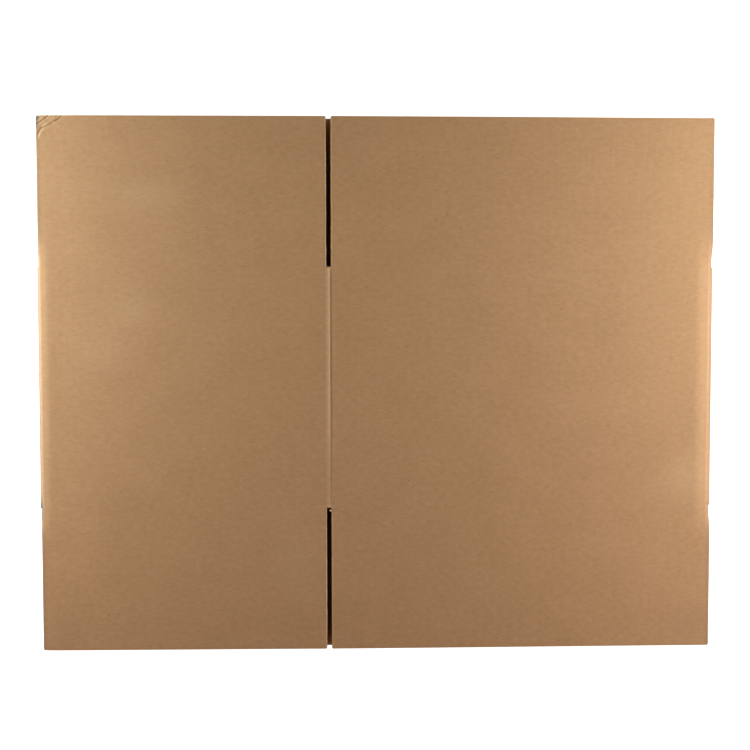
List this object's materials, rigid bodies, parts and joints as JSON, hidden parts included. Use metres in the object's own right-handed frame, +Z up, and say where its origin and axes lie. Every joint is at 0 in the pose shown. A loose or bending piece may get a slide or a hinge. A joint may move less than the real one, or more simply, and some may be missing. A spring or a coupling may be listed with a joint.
{
  "type": "flattened cardboard box",
  "caption": "Regular slotted carton of single-wall corrugated kraft board, knocked down flat: panels folded over two corner scores and glued, flaps in line with the panels.",
  "frame": {"origin": "middle of the footprint, on the surface that the carton lies on", "axes": "+X across the flutes, from the tight fold to the loose fold; +Y along the flutes; +Z up, out of the upper layer"},
  "size_m": [0.6997, 0.55, 0.0148],
  "materials": {
    "kraft_board": "uncoated brown kraft liner, matt, with faint flute lines and dark fibre specks"
  },
  "bodies": {
    "root": {"folded_box": "kraft_board"}
  },
  "joints": []
}
